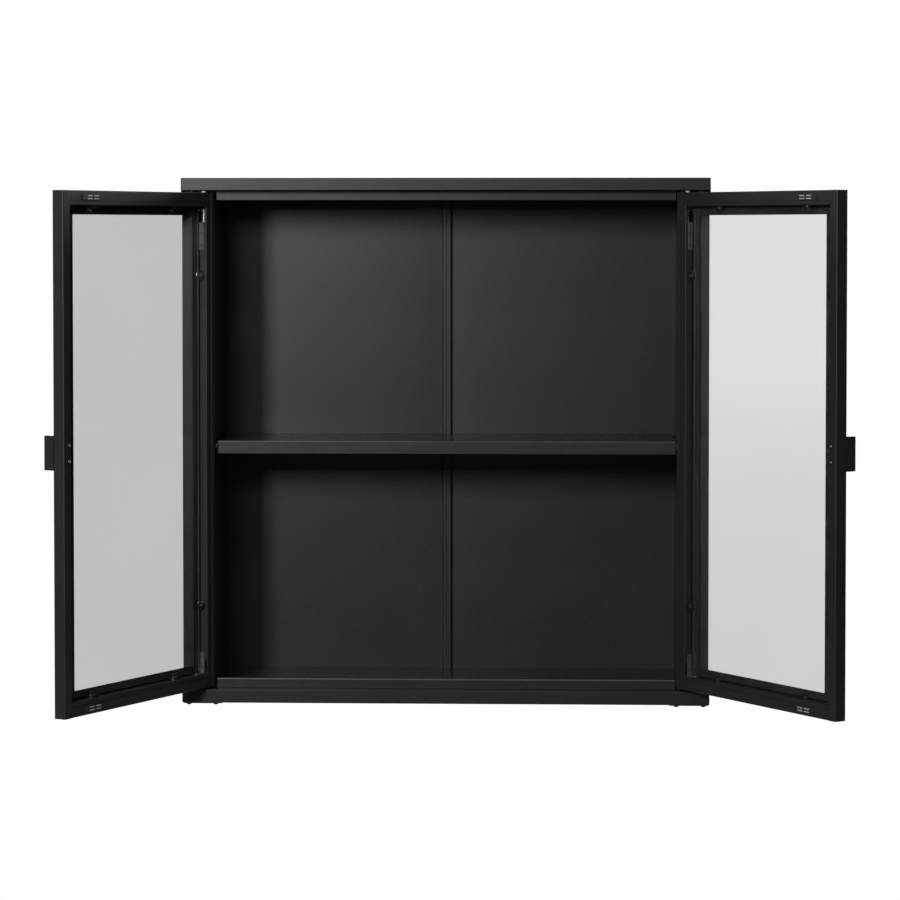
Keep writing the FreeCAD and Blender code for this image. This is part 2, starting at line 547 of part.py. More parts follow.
SPR_Z0, SPR_Z1 = NOTCH_Z0 + BR + 0.45, COLLAR_Z0 - 0.45
wire_r, coil_r = 0.5, 2.3
pitch = (SPR_Z1 - SPR_Z0) / 4.6
helix = Part.makeHelix(pitch, SPR_Z1 - SPR_Z0, coil_r)
prof = Part.Wire([Part.Circle(V(coil_r, 0, 0), V(0, 1, 0), wire_r).toShape()])
spring = Part.Wire(helix.Edges).makePipeShell([prof], True, True)
spring.translate(V(-EU, PIVOT_Y, SPR_Z0))
D["top_pin_spring"] = spring

# ---------------------------------------------------------------------------
# place the doors and write everything
# ---------------------------------------------------------------------------
for key, s in D.items():
    left = s.copy()
    left.rotate(V(-PIVOT_X, PIVOT_Y, 0), V(0, 0, 1), -LEFT_OPEN)
    put("left_" + key, left)
    right = mirrored(s)
    right.rotate(V(PIVOT_X, PIVOT_Y, 0), V(0, 0, 1), RIGHT_OPEN)
    put("right_" + key, right)

SHIFT = V(0, -CASE_D, -FIX_Z)
os.makedirs("parts", exist_ok=True)
for name, s in OUT.items():
    s = s.copy()
    s.translate(SHIFT)
    if not s.isValid():
        print("invalid shape", name)
    if any(x.Volume <= 0 for x in s.Solids) or not s.Solids:
        print("no volume", name)
    s.exportStep("parts/" + name + ".step")
print(len(OUT), "files")
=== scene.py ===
import bpy
import bmesh
import json
import math
from mathutils import Matrix, Vector


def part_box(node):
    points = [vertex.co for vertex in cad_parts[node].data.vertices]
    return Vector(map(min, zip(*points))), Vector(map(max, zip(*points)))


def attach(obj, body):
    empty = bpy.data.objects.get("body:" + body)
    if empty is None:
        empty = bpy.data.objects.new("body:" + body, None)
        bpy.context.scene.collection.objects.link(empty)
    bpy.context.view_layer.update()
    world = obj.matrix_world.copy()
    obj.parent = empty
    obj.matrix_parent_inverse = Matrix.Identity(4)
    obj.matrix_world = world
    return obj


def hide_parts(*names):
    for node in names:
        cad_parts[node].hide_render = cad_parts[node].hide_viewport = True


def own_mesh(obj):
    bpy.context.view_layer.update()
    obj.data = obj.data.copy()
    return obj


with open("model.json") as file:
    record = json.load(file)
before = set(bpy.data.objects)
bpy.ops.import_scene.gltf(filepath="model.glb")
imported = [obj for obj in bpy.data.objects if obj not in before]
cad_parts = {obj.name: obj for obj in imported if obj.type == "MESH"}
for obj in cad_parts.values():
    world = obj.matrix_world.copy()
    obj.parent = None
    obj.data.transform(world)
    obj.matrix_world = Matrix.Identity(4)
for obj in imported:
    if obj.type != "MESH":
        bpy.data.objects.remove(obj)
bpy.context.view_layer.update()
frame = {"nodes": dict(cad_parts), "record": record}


nodes = frame["nodes"]
record = frame["record"]
scene = bpy.context.scene
scene.view_settings.view_transform = "Standard"
scene.view_settings.look = "None"

# ---------------------------------------------------------------------------
# camera
# ---------------------------------------------------------------------------
YAW = math.radians(-2.117)
PITCH = math.radians(2.0)
F_PX, CX, CD, CZ = 3071.0, 6.6598, 4054.5, 625.17
CASE_D, FIX_Z = 200.0, 672.0
pos = Vector((CX * math.cos(YAW) - CD * math.sin(YAW),
              -CX * math.sin(YAW) - CD * math.cos(YAW) - CASE_D,
              CZ - FIX_Z)) / 1000.0
fwd = Vector((math.cos(PITCH) * math.sin(YAW), math.cos(PITCH) * math.cos(YAW), -math.sin(PITCH)))
right = Vector((math.cos(YAW), -math.sin(YAW), 0.0))
up = right.cross(fwd)
cam_data = bpy.data.cameras.new("camera")
cam_data.sensor_width = 36.0
cam_data.lens = F_PX / 900.0 * 36.0
cam_data.shift_y = -0.1236
cam_data.clip_end = 100.0
cam = bpy.data.objects.new("camera", cam_data)
cam.matrix_world = Matrix.Translation(pos) @ Matrix((right, up, -fwd)).transposed().to_4x4()
scene.collection.objects.link(cam)
scene.camera = cam


# ---------------------------------------------------------------------------
# materials
# ---------------------------------------------------------------------------
def new_mat(name):
    m = bpy.data.materials.new(name)
    m.use_nodes = True
    nt = m.node_tree
    for n in list(nt.nodes):
        nt.nodes.remove(n)
    out = nt.nodes.new("ShaderNodeOutputMaterial")
    bsdf = nt.nodes.new("ShaderNodeBsdfPrincipled")
    nt.links.new(bsdf.outputs["BSDF"], out.inputs["Surface"])
    return m, nt, bsdf


def noise(nt, scale, detail=3.0, rough=0.5, coords=None):
    n = nt.nodes.new("ShaderNodeTexNoise")
    n.inputs["Scale"].default_value = scale
    n.inputs["Detail"].default_value = detail
    n.inputs["Roughness"].default_value = rough
    if coords is not None:
        nt.links.new(coords, n.inputs["Vector"])
    return n


def ramp(nt, src, stops):
    r = nt.nodes.new("ShaderNodeValToRGB")
    e = r.color_ramp.elements
    e[0].position, e[0].color = stops[0]
    e[1].position, e[1].color = stops[-1]
    for p, col in stops[1:-1]:
        x = e.new(p)
        x.color = col
    nt.links.new(src, r.inputs["Fac"])
    return r


def grey(v):
    return (v, v, v, 1.0)


def mixrgb(nt, a, b, fac, blend="MIX"):
    """a, b, fac: sockets or constants."""
    m = nt.nodes.new("ShaderNodeMix")
    m.data_type = "RGBA"
    m.blend_type = blend
    for key, val in (("Factor", fac), ("A", a), ("B", b)):
        if isinstance(val, bpy.types.NodeSocket):
            nt.links.new(val, m.inputs[key])
        else:
            m.inputs[key].default_value = val
    return m.outputs["Result"]


def math_node(nt, op, a, b=None, clamp=False):
    m = nt.nodes.new("ShaderNodeMath")
    m.operation = op
    m.use_clamp = clamp
    for i, val in enumerate((a, b)):
        if val is None:
            continue
        if isinstance(val, bpy.types.NodeSocket):
            nt.links.new(val, m.inputs[i])
        else:
            m.inputs[i].default_value = val
    return m.outputs[0]


def edge_mask(nt, radius, lo=0.02, hi=0.25):
    """0 on flats, 1 on convex or concave edges, from the rounded normal."""
    bv = nt.nodes.new("ShaderNodeBevel")
    bv.samples = 4
    bv.inputs["Radius"].default_value = radius
    ge = nt.nodes.new("ShaderNodeNewGeometry")
    d = nt.nodes.new("ShaderNodeVectorMath")
    d.operation = "DOT_PRODUCT"
    nt.links.new(bv.outputs["Normal"], d.inputs[0])
    nt.links.new(ge.outputs["True Normal"], d.inputs[1])
    inv = math_node(nt, "SUBTRACT", 1.0, d.outputs["Value"], True)
    return ramp(nt, inv, [(lo, grey(0.0)), (hi, grey(1.0))]).outputs["Color"]


def powder(name, base, rough=0.42, spec=0.5, tint=(1.0, 1.0, 1.02), bump=0.5, wear=0.5):
    """Fine textured powder coat: closely packed grains, faint blotches and
    lightly burnished edges."""
    m, nt, b = new_mat(name)
    co = nt.nodes.new("ShaderNodeTexCoord").outputs["Object"]
    fine = noise(nt, 1500.0, 2.0, 0.6, co)
    mid = noise(nt, 420.0, 2.0, 0.6, co)
    blot = noise(nt, 7.0, 4.0, 0.6, co)
    lo = tuple(base * 0.70 * t for t in tint) + (1.0,)
    hi = tuple(base * 1.42 * t for t in tint) + (1.0,)
    r1 = ramp(nt, fine.outputs["Fac"], [(0.32, lo), (0.70, hi)])
    r3 = ramp(nt, mid.outputs["Fac"], [(0.30, grey(0.84)), (0.70, grey(1.16))])
    r2 = ramp(nt, blot.outputs["Fac"], [(0.30, grey(0.92)), (0.70, grey(1.08))])
    c = mixrgb(nt, r1.outputs["Color"], r3.outputs["Color"], 1.0, "MULTIPLY")
    c = mixrgb(nt, c, r2.outputs["Color"], 1.0, "MULTIPLY")
    em = edge_mask(nt, 0.0006)
    scuff = ramp(nt, noise(nt, 130.0, 3.0, 0.6, co).outputs["Fac"], [(0.42, grey(0.25)), (0.66, grey(1.0))])
    worn = math_node(nt, "MULTIPLY", math_node(nt, "MULTIPLY", em, scuff.outputs["Color"]), wear)
    hi2 = tuple(base * 2.3 * t for t in tint) + (1.0,)
    c = mixrgb(nt, c, hi2, worn)
    nt.links.new(c, b.inputs["Base Color"])
    rr = ramp(nt, fine.outputs["Fac"], [(0.3, grey(rough - 0.06)), (0.7, grey(rough + 0.08))])
    ro = mixrgb(nt, rr.outputs["Color"], grey(rough - 0.18), worn)
    nt.links.new(ro, b.inputs["Roughness"])
    b.inputs["Specular IOR Level"].default_value = spec
    hsum = math_node(nt, "ADD", fine.outputs["Fac"], math_node(nt, "MULTIPLY", mid.outputs["Fac"], 0.8))
    bp = nt.nodes.new("ShaderNodeBump")
    bp.inputs["Strength"].default_value = bump
    bp.inputs["Distance"].default_value = 0.00012
    nt.links.new(hsum, bp.inputs["Height"])
    nt.links.new(bp.outputs["Normal"], b.inputs["Normal"])
    return m


def metal(name, base, rough=0.35, scale=900.0, stretch=(1, 1, 8), metallic=1.0):
    m, nt, b = new_mat(name)
    tc = nt.nodes.new("ShaderNodeTexCoord")
    mp = nt.nodes.new("ShaderNodeMapping")
    mp.inputs["Scale"].default_value = stretch
    nt.links.new(tc.outputs["Object"], mp.inputs["Vector"])
    n = noise(nt, scale, 4.0, 0.6, mp.outputs["Vector"])
    r = ramp(nt, n.outputs["Fac"], [(0.25, tuple(c * 0.8 for c in base) + (1.0,)), (0.75, tuple(min(1, c * 1.12) for c in base) + (1.0,))])
    em = edge_mask(nt, 0.0003)
    c = mixrgb(nt, r.outputs["Color"], tuple(min(1.0, x * 1.25) for x in base) + (1.0,), math_node(nt, "MULTIPLY", em, 0.6))
    nt.links.new(c, b.inputs["Base Color"])
    b.inputs["Metallic"].default_value = metallic
    rr = ramp(nt, n.outputs["Fac"], [(0.2, grey(rough - 0.08)), (0.8, grey(rough + 0.1))])
    nt.links.new(rr.outputs["Color"], b.inputs["Roughness"])
    bp = nt.nodes.new("ShaderNodeBump")
    bp.inputs["Strength"].default_value = 0.2
    bp.inputs["Distance"].default_value = 0.00005
    nt.links.new(n.outputs["Fac"], bp.inputs["Height"])
    nt.links.new(bp.outputs["Normal"], b.inputs["Normal"])
    return m


def plastic(name, base, rough=0.5, scale=1400.0, spec=0.5, wear=0.35):
    m, nt, b = new_mat(name)
    tc = nt.nodes.new("ShaderNodeTexCoord")
    n = noise(nt, scale, 3.0, 0.5, tc.outputs["Object"])
    r = ramp(nt, n.outputs["Fac"], [(0.3, tuple(c * 0.85 for c in base) + (1.0,)), (0.7, tuple(min(1, c * 1.1) for c in base) + (1.0,))])
    em = edge_mask(nt, 0.0004)
    c = mixrgb(nt, r.outputs["Color"], tuple(min(1.0, x * 1.6) for x in base) + (1.0,), math_node(nt, "MULTIPLY", em, wear))
    nt.links.new(c, b.inputs["Base Color"])
    rr = ramp(nt, n.outputs["Fac"], [(0.3, grey(rough - 0.06)), (0.7, grey(rough + 0.08))])
    nt.links.new(rr.outputs["Color"], b.inputs["Roughness"])
    b.inputs["Specular IOR Level"].default_value = spec
    bp = nt.nodes.new("ShaderNodeBump")
    bp.inputs["Strength"].default_value = 0.15
    bp.inputs["Distance"].default_value = 0.00006
    nt.links.new(n.outputs["Fac"], bp.inputs["Height"])
    nt.links.new(bp.outputs["Normal"], b.inputs["Normal"])
    return m


def direct_view(nt, path):
    """1 for camera rays and for those that have only passed through glass."""
    bounces = math_node(nt, "ADD", path.outputs["Diffuse Depth"], path.outputs["Glossy Depth"])
    clean = math_node(nt, "LESS_THAN", bounces, 0.5)
    thru = math_node(nt, "MULTIPLY", path.outputs["Is Transmission Ray"], clean)
    return math_node(nt, "MAXIMUM", path.outputs["Is Camera Ray"], thru)


def glass(name, tint):
    """Clear float glass, faintly uneven in tone, with a whisper of haze."""
    m, nt, b = new_mat(name)
    tc = nt.nodes.new("ShaderNodeTexCoord")
    n = noise(nt, 3.0, 2.0, 0.5, tc.outputs["Object"])
    lo = tuple(c * 0.985 for c in tint) + (1.0,)
    hi = tuple(min(1.0, c * 1.01) for c in tint) + (1.0,)
    r = ramp(nt, n.outputs["Fac"], [(0.35, lo), (0.65, hi)])
    nt.links.new(r.outputs["Color"], b.inputs["Base Color"])
    b.inputs["Transmission Weight"].default_value = 1.0
    b.inputs["IOR"].default_value = 1.5
    rr = ramp(nt, noise(nt, 60.0, 3.0, 0.6, tc.outputs["Object"]).outputs["Fac"], [(0.3, grey(0.0)), (0.8, grey(0.01))])
    nt.links.new(rr.outputs["Color"], b.inputs["Roughness"])
    thru = nt.nodes.new("ShaderNodeBsdfTransparent")
    thru.inputs["Color"].default_value = (0.82, 0.83, 0.83, 1.0)
    path = nt.nodes.new("ShaderNodeLightPath")
    mx = nt.nodes.new("ShaderNodeMixShader")
    nt.links.new(path.outputs["Is Shadow Ray"], mx.inputs["Fac"])
    nt.links.new(b.outputs["BSDF"], mx.inputs[1])
    nt.links.new(thru.outputs["BSDF"], mx.inputs[2])
    nt.links.new(mx.outputs["Shader"], nt.nodes["Material Output"].inputs["Surface"])
    return m


def glass_edge(name):
    """Ground edge of the pane: frosted and partly clear; its dark grey green tone is painted shade, darkening the line
    along the pane's edge.
    """
    m, nt, b = new_mat(name)
    tc = nt.nodes.new("ShaderNodeTexCoord")
    n = noise(nt, 1800.0, 3.0, 0.6, tc.outputs["Object"])
    r = ramp(nt, n.outputs["Fac"], [(0.3, (0.040, 0.045, 0.044, 1)), (0.7, (0.065, 0.072, 0.070, 1))])
    nt.links.new(r.outputs["Color"], b.inputs["Base Color"])
    rr = ramp(nt, n.outputs["Fac"], [(0.3, grey(0.16)), (0.7, grey(0.28))])
    nt.links.new(rr.outputs["Color"], b.inputs["Roughness"])
    b.inputs["Transmission Weight"].default_value = 0.25
    b.inputs["IOR"].default_value = 1.5
    return m


BASE = 0.025
MATS = {
    "case_black": powder("case_black", BASE),
    # painted light: the case's black made about 12% lighter for the inside sheets, standing in for more light inside
    # the case
    "interior_black": powder("interior_black", 0.028),
    "upward_black": powder("upward_black", BASE, 0.2),
    # painted highlight: a black four times lighter and smoother than the case's, for the bright line that light draws
    # along rounded top front edges
    "painted_highlight_black": powder("painted_highlight_black", 0.10, 0.32),
    "door_black": powder("door_black", BASE),
    "glass": glass("pane_glass", (0.74, 0.745, 0.745)),
    "clip_plastic": plastic("clip_plastic", (0.014, 0.014, 0.014), 0.26, spec=0.6, wear=1.0),
    "catch_plastic": plastic("catch_plastic", (0.03, 0.03, 0.03), 0.45, wear=1.0),
    "bright_steel": metal("bright_steel", (0.82, 0.82, 0.80), 0.42, metallic=0.5),
    "tongue_steel": metal("tongue_steel", (0.36, 0.36, 0.36), 0.22),
    # painted highlight: the magnet poles get a nearly white, mostly non-metallic steel so that they read as bright as
    # glinting steel
    "painted_bright_pole_steel": metal("painted_bright_pole_steel", (0.95, 0.95, 0.94), 0.4, metallic=0.2),
    "zinc_steel": metal("zinc_steel", (0.6, 0.61, 0.62), 0.35),
    "black_fastener": plastic("black_fastener", (0.05, 0.05, 0.05), 0.38),
    "bracket_steel": powder("bracket_steel", 0.09, 0.45),
    "pull_screw": metal("pull_screw", (0.66, 0.66, 0.65), 0.24),
    "screw_washer": plastic("screw_washer", (0.008, 0.008, 0.008), 0.5, spec=0.3, wear=0.2),
    # near black glazing seals in the gaps beside the panes; their darkness also stands in for the shade deep in those
    # gaps (painted shade)
    "seal_rubber": plastic("seal_rubber", (0.004, 0.004, 0.004), 0.7, spec=0.15, wear=0.1),
    "white_nylon": plastic("white_nylon", (0.85, 0.85, 0.82), 0.45),
}
GLASS_EDGE = glass_edge("pane_edge")
slot_of = {s["node"]: s["material_slot"] for s in record["subparts"]}
body_of = {}
for body, members in record["behaviour"]["bodies"].items():
    for n in members:
        body_of[n] = body
for name, o in nodes.items():
    o.data.materials.clear()
    o.data.materials.append(MATS[slot_of[name]])


# ---------------------------------------------------------------------------
# pieces: folded sheet with softened edges
# ---------------------------------------------------------------------------
def finish_mesh(ob, width, segments, angle, weighted=True):
    """Bevels the sharp edges, then keeps the flats flat; all applied."""
    if width > 0:
        bv = ob.modifiers.new("soft_edges", "BEVEL")
        bv.width = width
        bv.segments = segments
        bv.limit_method = "ANGLE"
        bv.angle_limit = math.radians(angle)
        bv.use_clamp_overlap = True
        bv.miter_outer = "MITER_ARC"
    if weighted:
        wn = ob.modifiers.new("flat_faces", "WEIGHTED_NORMAL")
        wn.keep_sharp = True
    bpy.context.view_layer.update()
    dg = bpy.context.evaluated_depsgraph_get()
    me = bpy.data.meshes.new_from_object(ob.evaluated_get(dg), preserve_all_data_layers=True, depsgraph=dg)
    ob.modifiers.clear()
    old = ob.data
    ob.data = me
    me.name = ob.name
    bpy.data.meshes.remove(old)
    return ob


def link(name, me):
    ob = bpy.data.objects.new(name, me)
    scene.collection.objects.link(ob)
    return ob


def rebuilt(name, width=0.00025, segments=2, angle=32.0, piece=None):
    """A CAD node's shape again, with softened edges."""
    src = nodes[name]
    bm = bmesh.new()
    bm.from_mesh(src.data)
    bmesh.ops.remove_doubles(bm, verts=bm.verts, dist=1e-6)
    bmesh.ops.dissolve_degenerate(bm, edges=bm.edges, dist=1e-7)
    bmesh.ops.dissolve_limit(bm, angle_limit=math.radians(0.5), verts=bm.verts, edges=bm.edges)
    bmesh.ops.recalc_face_normals(bm, faces=bm.faces)
    for f in bm.faces:
        f.smooth = True
    me = bpy.data.meshes.new(piece or name + "_finish")
    bm.to_mesh(me)
    bm.free()
    ob = link(piece or name + "_finish", me)
    me.materials.append(MATS[slot_of[name]])
    me.set_sharp_from_angle(angle=math.radians(angle))
    finish_mesh(ob, width, segments, angle)
    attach(ob, body_of[name])
    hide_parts(name)
    return ob


# ---------------------------------------------------------------------------
# door space: millimetres on the closed left door, to metres on the open door
# ---------------------------------------------------------------------------
X0 = -332.3
DOOR_W, DOOR_T = 331.05, 17.0
DOOR_Z0, DOOR_Z1 = 19.2, 676.5
STILE_H, STILE_F, RAIL_FL = 19.0, 14.2, 18.5
GLASS_N1, GAP_U, GAP_Z = 5.0, 2.0, 2.2
TAB_Z, TAB_PITCH = 350.2, 20.0
PIV = {"left": Vector((-320.0, 8.0, 0.0)), "right": Vector((320.0, 8.0, 0.0))}
OPEN = {"left": -117.85, "right": 124.35}
CASE_SPACE = Matrix.Translation(Vector((0, -CASE_D, -FIX_Z)) / 1000.0) @ Matrix.Scale(0.001, 4)


def door_space(side):
    p = PIV[side]
    m = CASE_SPACE @ Matrix.Translation(p) @ Matrix.Rotation(math.radians(OPEN[side]), 4, "Z") @ Matrix.Translation(-p)
    if side == "right":
        m = m @ Matrix.Diagonal((-1, 1, 1, 1))
    return m


def to_object(bm, name, mats, body, replaced, sharp=None):
    bmesh.ops.recalc_face_normals(bm, faces=bm.faces)
    me = bpy.data.meshes.new(name)
    bm.to_mesh(me)
    bm.free()
    for mt in mats:
        me.materials.append(mt)
    if sharp is not None:
        for poly in me.polygons:
            poly.use_smooth = True
        me.set_sharp_from_angle(angle=math.radians(sharp))
    ob = link(name, me)
    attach(ob, body)
    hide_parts(replaced)
    return ob


def add_mesh(bm, part, matrix):
    """Adds a copy of another bmesh, moved by matrix."""
    me = bpy.data.meshes.new("copy")
    part.to_mesh(me)
    me.transform(matrix)
    bm.from_mesh(me)
    bpy.data.meshes.remove(me)


def lathe(profile, n=32):
    """Closed turned shape about +Z from (r, z) pairs, first and last on the axis."""
    bm = bmesh.new()
    rings = []
    for r, z in profile:
        if r < 1e-9:
            rings.append([bm.verts.new((0, 0, z))])
        else:
            rings.append([bm.verts.new((r * math.cos(2 * math.pi * i / n), r * math.sin(2 * math.pi * i / n), z))
                          for i in range(n)])
    for p, q in zip(rings, rings[1:]):
        for i in range(n):
            j = (i + 1) % n
            if len(p) == 1:
                bm.faces.new((p[0], q[i], q[j]))
            elif len(q) == 1:
                bm.faces.new((p[i], q[0], p[j]))
            else:
                bm.faces.new((p[i], q[i], q[j], p[j]))
    bmesh.ops.recalc_face_normals(bm, faces=bm.faces)
    return bm


def cross_recess(part, top, depth, arm, width):
    """Cuts a cross shaped driver recess into the +Z end."""
    body_me = bpy.data.meshes.new("t_body")
    part.to_mesh(body_me)
    part.free()
    body = link("t_body", body_me)
    cutters = []
    for k in range(2):
        cb = bmesh.new()
        lo = [(-arm * 0.62, -width * 0.38), (arm * 0.62, -width * 0.38), (arm * 0.62, width * 0.38), (-arm * 0.62, width * 0.38)]
        hi = [(-arm, -width), (arm, -width), (arm, width), (-arm, width)]
        vl = [cb.verts.new((x, y, top - depth)) for x, y in lo]
        vh = [cb.verts.new((x, y, top + 0.4)) for x, y in hi]
        cb.faces.new(vl[::-1])
        cb.faces.new(vh)
        for i in range(4):
            cb.faces.new((vl[i], vl[(i + 1) % 4], vh[(i + 1) % 4], vh[i]))
        cb.transform(Matrix.Rotation(math.radians(35 + 90 * k), 4, "Z"))
        cm = bpy.data.meshes.new("t_cut")
        cb.to_mesh(cm)
        cb.free()
        co = link("t_cut", cm)
        cutters.append(co)
        mo = body.modifiers.new("cut", "BOOLEAN")
        mo.operation = "DIFFERENCE"
        mo.solver = "EXACT"
        mo.object = co
    bpy.context.view_layer.update()
    dg = bpy.context.evaluated_depsgraph_get()
    me = bpy.data.meshes.new_from_object(body.evaluated_get(dg))
    out = bmesh.new()
    out.from_mesh(me)
    bpy.data.meshes.remove(me)
    for o in cutters + [body]:
        d = o.data
        bpy.data.objects.remove(o)
        bpy.data.meshes.remove(d)
    return out


def screw(r, h, shank_r, shank):
    """Pan head screw, head from 0 to h, shank below."""
    prof = [(0, h), (r * 0.5, h * 0.985), (r * 0.72, h * 0.9), (r * 0.88, h * 0.72), (r * 0.97, h * 0.45), (r, h * 0.2),
            (r * 0.97, 0.0), (shank_r, 0.0), (shank_r, -shank + 0.3), (shank_r - 0.3, -shank), (0, -shank)]
    return cross_recess(lathe(prof, 36), h, h * 0.55, r * 0.56, r * 0.16)


def dome(r, h):
    prof = [(0, h)] + [(r * math.sin(math.radians(a)), h * math.cos(math.radians(a))) for a in (18, 36, 54, 72, 85)]
    return lathe(prof + [(r, 0.0), (0, 0.0)], 28)


# ---------------------------------------------------------------------------
# sheet metal and other pieces whose CAD shape is right
# ---------------------------------------------------------------------------
DONE = set()
for side in ("left", "right"):
    for key in ("glass", "top_pin_spring", "glass_clips", "glass_clip_tongues", "clip_screws", "handle_screws", "bracket_rivets"):
        DONE.add(side + "_" + key)
DONE |= {"foot_screws", "back_panel_left", "back_panel_right"}
for name in nodes:
    if name in DONE:
        continue
    small = slot_of[name] not in ("case_black", "interior_black", "door_black")
    rebuilt(name, 0.00012 if small else 0.00025)

# the faces that objects stand on are smoother than the rest
for name in ("shelf", "floor_panel", "bottom_front_rail", "bottom_panel", "bottom_panel_topside"):
    ob = bpy.data.objects[name + "_finish"]
    ob.data.materials.append(MATS["upward_black"])
    ob.data.materials.append(MATS["painted_highlight_black"])
    for poly in ob.data.polygons:
        if poly.normal.z > 0.97:
            poly.material_index = 1
        # painted highlight: the upward front facing rounded edges of the shelf and the bottom front rail get a much
        # lighter black as a bright line
        elif name in ("shelf", "bottom_front_rail") and poly.normal.z > 0.2 and poly.normal.y < -0.15:
            poly.material_index = 2

# the shelf's rear edge stops in front of the bowed back sheets
for name in ("shelf_finish", "shelf_underside_finish"):
    for v in bpy.data.objects[name].data.vertices:
        if v.co.y > -0.0125:
            v.co.y -= 0.0032

# the spacer blocks are coated like the brackets
bpy.data.objects["wall_fixing_blocks_finish"].data.materials[0] = MATS["bracket_steel"]

# the lower bushes are black, the upper ones white
bush = bpy.data.objects["pivot_bushes_finish"]
bush.data.materials.append(MATS["catch_plastic"])
for poly in bush.data.polygons:
    if poly.center.z < -0.3:
        poly.material_index = 1


# painted highlight: the magnet poles take that nearly white steel in place of their slot's finish
for side in ("left", "right"):
    ob = bpy.data.objects[side + "_magnet_poles_finish"]
    ob.data.materials[0] = MATS["painted_bright_pole_steel"]


def back_sheet(side):
    """Thin back sheet, very slightly bowed between its folds."""
    sg = -1 if side == "left" else 1
    lo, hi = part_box("back_panel_" + side)
    y0, y1 = lo.y, hi.y
    nx, nz = 40, 64
    hx, hz = 0.270 * sg, 0.0
    bm = bmesh.new()
    xs = [lo.x + (hi.x - lo.x) * i / nx for i in range(nx + 1)]
    zs = [lo.z + (hi.z - lo.z) * k / nz for k in range(nz + 1)]

    x_in, x_out = (-0.0104 if side == "left" else 0.0013), 0.3095 * sg

    def bow(x, z):
        a = min(1.0, max(0.0, (x - x_in) / (x_out - x_in)))
        c = min(1.0, max(0.0, (z + 0.6515) / (hi.z + 0.6515)))
        swell = 0.0016 * math.sin(math.pi * a) + 0.0011 * (1.0 - a ** 10) * (1.0 - (1.0 - a) ** 10)
        return -swell * math.sin(math.pi * c) ** 0.5

    front = [[bm.verts.new((x, y0 + bow(x, z), z)) for z in zs] for x in xs]
    rear = [[bm.verts.new((x, y1 + bow(x, z), z)) for z in zs] for x in xs]
    for i in range(nx):
        for k in range(nz):
            bm.faces.new((front[i][k], front[i + 1][k], front[i + 1][k + 1], front[i][k + 1]))
            bm.faces.new((rear[i][k + 1], rear[i + 1][k + 1], rear[i + 1][k], rear[i][k]))
    for i in range(nx):
        for k in (0, nz):
            bm.faces.new((front[i][k], rear[i][k], rear[i + 1][k], front[i + 1][k]))
    for k in range(nz):
        for i in (0, nx):
            bm.faces.new((front[i][k], front[i][k + 1], rear[i][k + 1], rear[i][k]))
    bmesh.ops.recalc_face_normals(bm, faces=bm.faces)
    me = bpy.data.meshes.new("t_sheet")
    bm.to_mesh(me)
    bm.free()
    sheet = link("t_sheet", me)
    hole = lathe([(0, 0.03), (0.0035, 0.03), (0.0035, -0.03), (0, -0.03)], 48)
    hole.transform(Matrix.Translation((hx, (y0 + y1) / 2, hz)) @ Matrix.Rotation(math.radians(90), 4, "X"))
    hm = bpy.data.meshes.new("t_hole")
    hole.to_mesh(hm)
    hole.free()
    ho = link("t_hole", hm)
    mo = sheet.modifiers.new("hole", "BOOLEAN")
    mo.operation = "DIFFERENCE"
    mo.solver = "EXACT"
    mo.object = ho
    bpy.context.view_layer.update()
    dg = bpy.context.evaluated_depsgraph_get()
    fin = bpy.data.meshes.new_from_object(sheet.evaluated_get(dg))
    out = bmesh.new()
    out.from_mesh(fin)
    bpy.data.meshes.remove(fin)
    for o in (sheet, ho):
        d = o.data
        bpy.data.objects.remove(o)
        bpy.data.meshes.remove(d)
    return to_object(out, "back_panel_" + side + "_finish", [MATS["interior_black"]], "case",
                     "back_panel_" + side, 30)


back_sheet("left")
back_sheet("right")


# ---------------------------------------------------------------------------
# panes
# ---------------------------------------------------------------------------
def pane(side):
    lo_u, hi_u = X0 + STILE_H + GAP_U, X0 + DOOR_W - STILE_F - GAP_U
    lo_z, hi_z = DOOR_Z0 + RAIL_FL + GAP_Z, DOOR_Z1 - RAIL_FL - GAP_Z
    n0, n1, c, r = 1.08, GLASS_N1, 0.35, 1.6
    ring = []
    for cx, cz, a0 in ((hi_u - r, hi_z - r, 0), (lo_u + r, hi_z - r, 90), (lo_u + r, lo_z + r, 180), (hi_u - r, lo_z + r, 270)):
        for k in range(7):
            a = math.radians(a0 + 15 * k)
            ring.append((cx, cz, math.cos(a), math.sin(a)))
    bm = bmesh.new()
    loops = []
    for n, inset in ((n0, c), (n0 + c, 0.0), (n1 - c, 0.0), (n1, c)):
        loops.append([bm.verts.new((x + (r - inset) * dx, n, z + (r - inset) * dz)) for x, z, dx, dz in ring])
    k = len(ring)
    for a, b in zip(loops, loops[1:]):
        for i in range(k):
            f = bm.faces.new((a[i], a[(i + 1) % k], b[(i + 1) % k], b[i]))
            f.material_index = 1
    bm.faces.new(loops[0][::-1])
    bm.faces.new(loops[-1])
    bm.transform(door_space(side))
    ob = to_object(bm, side + "_pane", [MATS["glass"], GLASS_EDGE], side + "_door", side + "_glass")
    return ob


# ---------------------------------------------------------------------------
# glass retainers
# ---------------------------------------------------------------------------
LUG_R, LUG_T, LUG_N, LUG_SCREW_N = 7.5, 4.2, 5.4, 8.8


